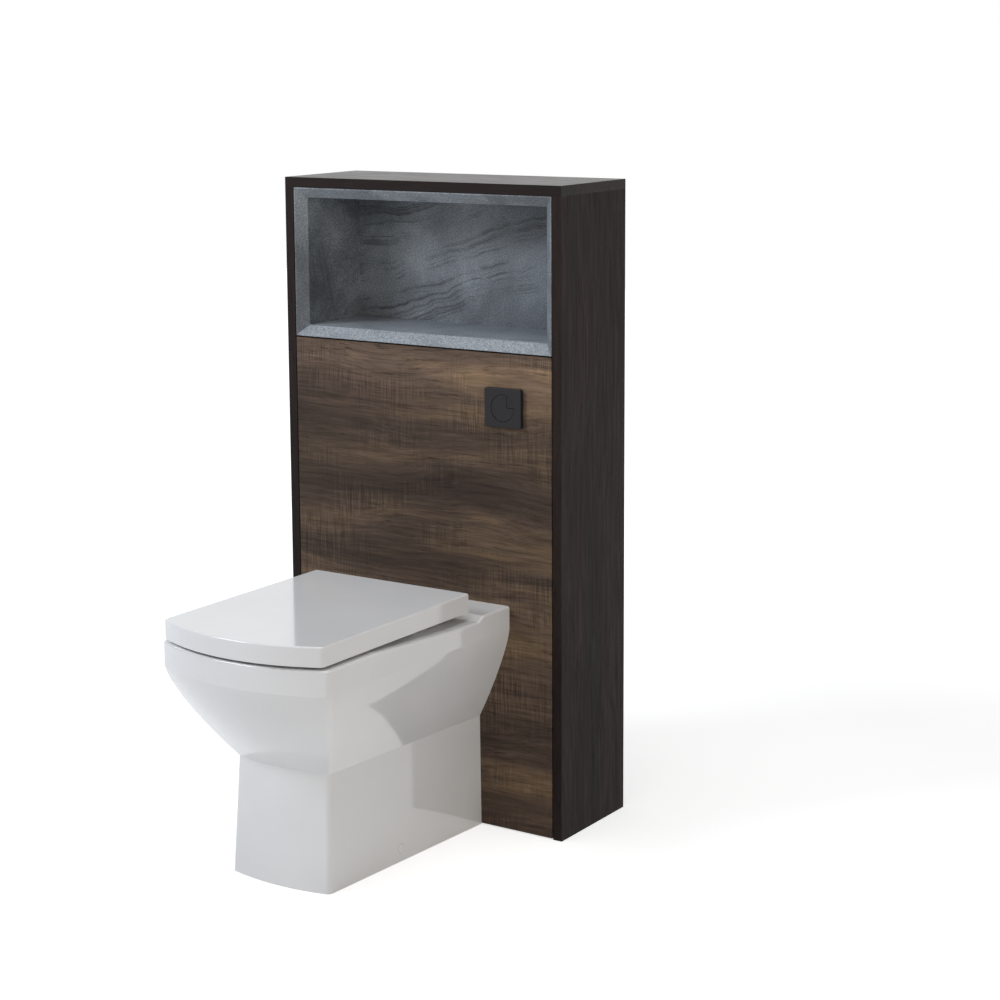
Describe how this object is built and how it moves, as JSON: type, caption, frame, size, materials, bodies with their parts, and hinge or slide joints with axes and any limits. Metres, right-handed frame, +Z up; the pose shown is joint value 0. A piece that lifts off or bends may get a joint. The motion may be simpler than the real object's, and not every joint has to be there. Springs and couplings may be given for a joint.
{
  "type": "toilet furniture unit",
  "caption": "Tall concealed cistern cabinet with an open niche and flush plate, joined to a back to wall toilet pan with hinged seat and lid.",
  "frame": {"origin": "middle of the whole unit's footprint, on the floor", "axes": "+Z up, +Y from the pan's front towards the wall, +X to the right as seen from the front"},
  "size_m": [0.6, 0.7779, 1.17],
  "materials": {
    "wood_front": "weathered rustic wood grain running across",
    "wood_side": "dark weathered wood grain running up",
    "wood_top": "dark weathered wood grain with a soft sheen",
    "stone_niche": "dark veined stone effect board",
    "carcass_board": "plain light board",
    "dowel_wood": "fluted beech",
    "matte_black": "satin black",
    "glazed_ceramic": "gloss white glaze",
    "gloss_seat": "gloss white",
    "grey_plastic": "moulded",
    "white_plastic": "moulded",
    "blue_plastic": "moulded",
    "rubber": "matte",
    "clear_rubber": "translucent white",
    "air_tube": "clear flexible tube",
    "chrome": "polished",
    "steel": "zinc plated",
    "braided_hose": "steel braid over rubber"
  },
  "bodies": {
    "unit": {"air_tube_full_flush": "air_tube", "air_tube_half_flush": "air_tube", "button_housing": "grey_plastic", "button_lock_nut": "grey_plastic", "cistern_lid": "white_plastic", "cistern_screws": "steel", "cistern_shelf": "carcass_board", "cistern_tank": "white_plastic", "cleat_screws": "steel", "dowels": "dowel_wood", "fill_valve": "white_plastic", "fill_valve_nut": "white_plastic", "flush_actuator": "blue_plastic", "flush_cone": "rubber", "flush_pipe": "white_plastic", "flush_pipe_nut": "white_plastic", "flush_plate": "matte_black", "flush_valve_body": "white_plastic", "flush_valve_nut": "white_plastic", "front_panel": "wood_front", "full_flush_bellows": "rubber", "half_flush_bellows": "rubber", "hinge_bolts": "steel", "hinge_nuts": "white_plastic", "hinge_posts": "chrome", "isolating_valve": "chrome", "niche_back": "stone_niche", "niche_ceiling": "stone_niche", "niche_floor": "stone_niche", "niche_side_left": "stone_niche", "niche_side_right": "stone_niche", "pan": "glazed_ceramic", "pan_fixing_caps": "gloss_seat", "pan_fixing_screws": "steel", "pan_floor_brackets": "grey_plastic", "panel_cleats": "carcass_board", "panel_studs": "white_plastic", "rear_rails": "carcass_board", "side_panel_left": "wood_side", "side_panel_right": "wood_side", "soil_connector": "white_plastic", "soil_seal": "rubber", "supply_hose": "braided_hose", "supply_hose_nuts": "chrome", "top_board": "wood_top", "upper_shelf": "carcass_board", "wall_bracket_screws": "steel", "wall_brackets": "steel"},
    "seat": {"seat_ring": "gloss_seat", "hinge_pins": "steel", "seat_buffers": "clear_rubber"},
    "lid": {"seat_lid": "gloss_seat", "lid_buffers": "clear_rubber"},
    "full_flush_press": {"full_flush_button": "matte_black"},
    "half_flush_press": {"half_flush_button": "matte_black"},
    "flush_valve_lift": {"flush_valve_riser": "grey_plastic", "flush_valve_seal": "rubber"},
    "float": {"fill_valve_float": "grey_plastic"},
    "valve_lever": {"isolating_valve_lever": "chrome"}
  },
  "joints": [
    {"name": "seat_hinge", "type": "hinge", "parent": "unit", "child": "seat", "pos_m": [0, 0.061, 0.436], "axis": [-1, 0, 0], "range_deg": [0, 95]},
    {"name": "lid_hinge", "type": "hinge", "parent": "seat", "child": "lid", "pos_m": [0, 0.061, 0.436], "axis": [1, 0, 0], "range_deg": [-95, 0]},
    {"name": "full_flush_button_press", "type": "slide", "parent": "unit", "child": "full_flush_press", "axis": [0, 1, 0], "range_m": [0, 0.005], "stiffness_N_per_m": 1200, "springref_m": -0.001, "deforming": ["full_flush_bellows"]},
    {"name": "half_flush_button_press", "type": "slide", "parent": "unit", "child": "half_flush_press", "axis": [0, 1, 0], "range_m": [0, 0.005], "stiffness_N_per_m": 1200, "springref_m": -0.001, "deforming": ["half_flush_bellows"]},
    {"name": "flush_valve_rise", "type": "slide", "parent": "unit", "child": "flush_valve_lift", "axis": [0, 0, 1], "range_m": [0, 0.015]},
    {"name": "float_travel", "type": "slide", "parent": "unit", "child": "float", "axis": [0, 0, 1], "range_m": [0, 0.08]},
    {"name": "valve_lever_turn", "type": "hinge", "parent": "unit", "child": "valve_lever", "pos_m": [-0.22, 0.3035, 0.087], "axis": [0, -1, 0], "range_deg": [0, 90]}
  ],
  "couplings": [
    {"joint": "flush_valve_rise", "follows": "full_flush_button_press", "ratio": 3}
  ]
}
